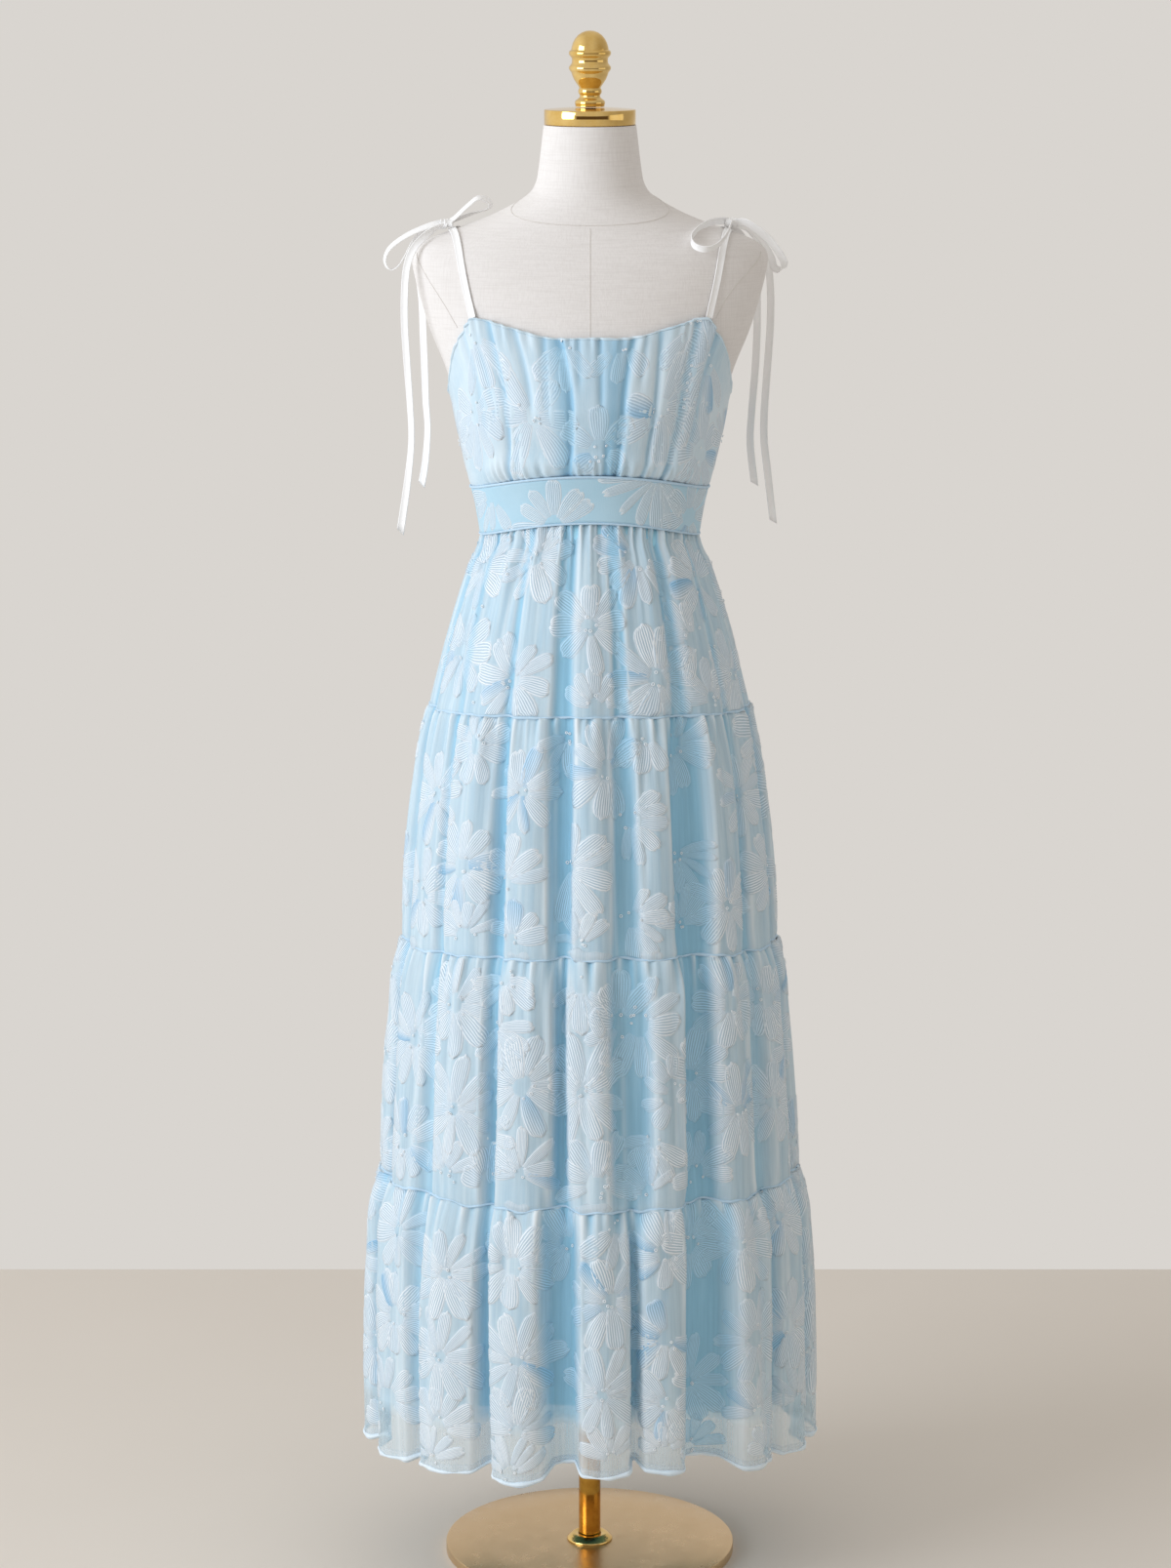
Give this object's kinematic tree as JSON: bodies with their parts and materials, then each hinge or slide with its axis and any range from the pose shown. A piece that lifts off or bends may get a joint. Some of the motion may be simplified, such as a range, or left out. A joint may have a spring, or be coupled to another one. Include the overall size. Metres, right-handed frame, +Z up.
{
  "type": "maxi dress on a dress form",
  "caption": "Long tiered dress with a ruched bodice, a flat waistband and ribbon straps tied in bows, on a limbless dress form with a pole and a round base.",
  "frame": {"origin": "centre of the base plate's underside, on the axis of the pole", "axes": "+Z up along the pole, -Y towards the front of the dress, +X to the viewer's right"},
  "size_m": [0.4952, 0.4336, 1.6505],
  "materials": {
    "embroidered_organza": "sheer pale blue organza over blue lining, embroidered with flowers",
    "band_cloth": "smooth pale blue cloth",
    "lining_cloth": "matte light blue lining",
    "white_ribbon": "soft white ribbon",
    "linen": "off-white linen, seamed",
    "polished_brass": "polished",
    "brushed_brass": "satin"
  },
  "bodies": {
    "root": {"bodice_front": "embroidered_organza", "bodice_back": "embroidered_organza", "tier1_front": "embroidered_organza", "tier1_back": "embroidered_organza", "tier2_front": "embroidered_organza", "tier2_back": "embroidered_organza", "tier3_front": "embroidered_organza", "tier3_back": "embroidered_organza", "tier4_front": "embroidered_organza", "tier4_back": "embroidered_organza", "waistband_front": "band_cloth", "waistband_back": "band_cloth", "lining_front": "lining_cloth", "lining_back": "lining_cloth", "strap_front_left": "white_ribbon", "strap_front_right": "white_ribbon", "strap_back_left": "white_ribbon", "strap_back_right": "white_ribbon", "bow_left": "white_ribbon", "bow_right": "white_ribbon", "tie_left_long": "white_ribbon", "tie_left_short": "white_ribbon", "tie_right_long": "white_ribbon", "tie_right_short": "white_ribbon", "form_body": "linen", "neck_cap": "polished_brass", "finial": "polished_brass", "pole": "polished_brass", "base_flange": "polished_brass", "base_plate": "brushed_brass"}
  },
  "joints": []
}
